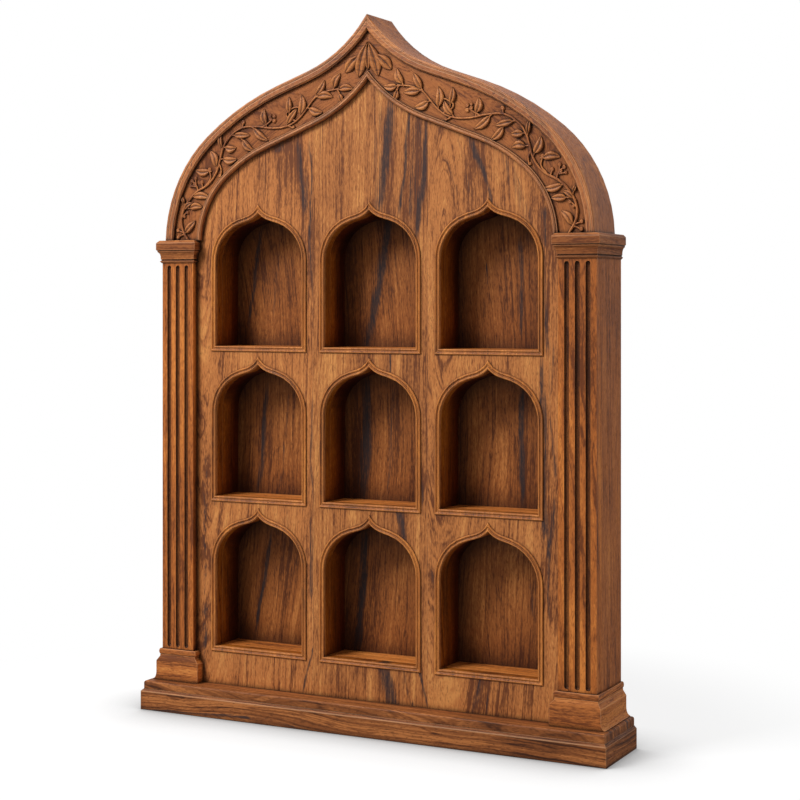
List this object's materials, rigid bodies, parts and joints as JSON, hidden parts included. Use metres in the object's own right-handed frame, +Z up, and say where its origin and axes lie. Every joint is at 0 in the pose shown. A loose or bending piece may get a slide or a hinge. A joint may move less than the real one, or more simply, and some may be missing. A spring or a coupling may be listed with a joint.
{
  "type": "wall display shelf",
  "caption": "Wall display shelf with ogee-arched niches between fluted pilasters, a moulded plinth and an ogee crown with a carved leafy band.",
  "frame": {"origin": "middle of the footprint of the plinth, on the surface that it stands on", "axes": "+Z up, front towards -Y, wall behind at +Y, +X to the right seen from the front"},
  "size_m": [0.6, 0.097, 0.8274],
  "materials": {
    "case_wood": "satin oiled hardwood, orange brown with blue-black streaks",
    "face_wood": "satin oiled hardwood, fine upright grain",
    "moulding_wood": "satin oiled hardwood, rubbed paler on the edges",
    "niche_wood": "satin oiled hardwood",
    "secondary_wood": "plain hardwood, matt",
    "screw_steel": "zinc plated"
  },
  "bodies": {
    "root": {"plinth_front": "case_wood", "plinth_left": "case_wood", "plinth_right": "case_wood", "plinth_back": "secondary_wood", "base_board": "case_wood", "plinth_screws": "screw_steel", "side_left": "case_wood", "side_right": "case_wood", "post_outer_left": "niche_wood", "post_outer_right": "niche_wood", "divider_left": "niche_wood", "divider_right": "niche_wood", "shelf_bottom": "niche_wood", "shelf_middle": "niche_wood", "shelf_top": "niche_wood", "ceiling_board": "niche_wood", "back_panel": "niche_wood", "hanging_rail": "secondary_wood", "rail_screws": "screw_steel", "arch_block_11": "secondary_wood", "arch_block_12": "secondary_wood", "arch_block_13": "secondary_wood", "arch_block_21": "secondary_wood", "arch_block_22": "secondary_wood", "arch_block_23": "secondary_wood", "arch_block_31": "secondary_wood", "arch_block_32": "secondary_wood", "arch_block_33": "secondary_wood", "face_left": "face_wood", "face_centre": "face_wood", "face_right": "face_wood", "niche_trim_11": "moulding_wood", "niche_trim_12": "moulding_wood", "niche_trim_13": "moulding_wood", "niche_trim_21": "moulding_wood", "niche_trim_22": "moulding_wood", "niche_trim_23": "moulding_wood", "niche_trim_31": "moulding_wood", "niche_trim_32": "moulding_wood", "niche_trim_33": "moulding_wood", "pilaster_left": "case_wood", "pilaster_right": "case_wood", "pedestal_left": "case_wood", "pedestal_right": "case_wood", "base_bead_left": "case_wood", "base_bead_right": "case_wood", "capital_left": "case_wood", "capital_right": "case_wood", "abacus_left": "case_wood", "abacus_right": "case_wood", "arch_rim_left": "moulding_wood", "arch_rim_right": "moulding_wood", "frieze_left": "case_wood", "frieze_right": "case_wood", "arch_bead_left": "moulding_wood", "arch_bead_right": "moulding_wood", "vine_left": "moulding_wood", "vine_right": "moulding_wood", "crown_spray": "moulding_wood"}
  },
  "joints": []
}
